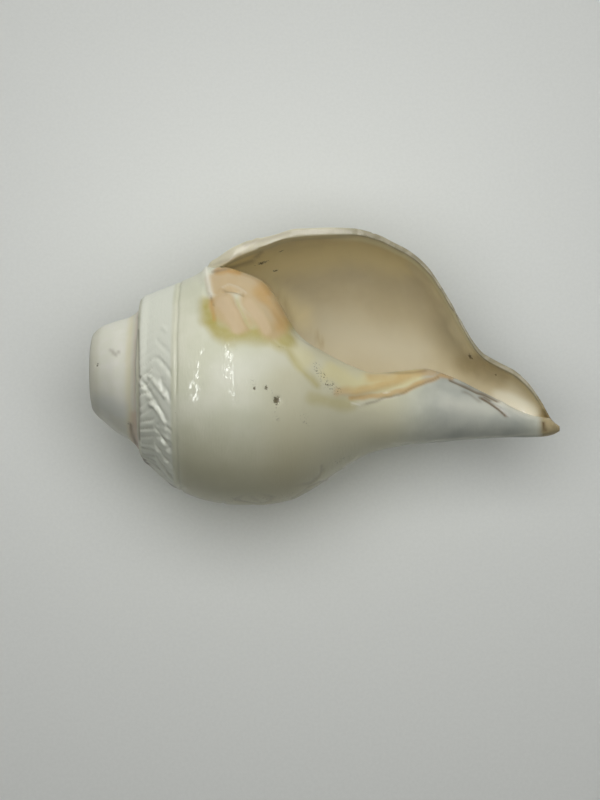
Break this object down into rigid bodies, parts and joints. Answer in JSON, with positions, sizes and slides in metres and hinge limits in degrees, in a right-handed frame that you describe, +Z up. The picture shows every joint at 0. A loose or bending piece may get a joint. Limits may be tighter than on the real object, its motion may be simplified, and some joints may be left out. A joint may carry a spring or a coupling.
{
  "type": "carved conch shell",
  "caption": "Glossy ivory conch shell with a ground spire end, a carved herringbone band, an open aperture and a long canal, lying on its back.",
  "frame": {"origin": "middle of the bottom of the shell's box, on the surface that it lies on", "axes": "+X from the ground spire end to the canal tip, +Y to the outer lip, +Z up out of the aperture"},
  "size_m": [0.1484, 0.0868, 0.0767],
  "materials": {
    "shell": "gloss"
  },
  "bodies": {
    "root": {"conch_shell": "shell"}
  },
  "joints": []
}
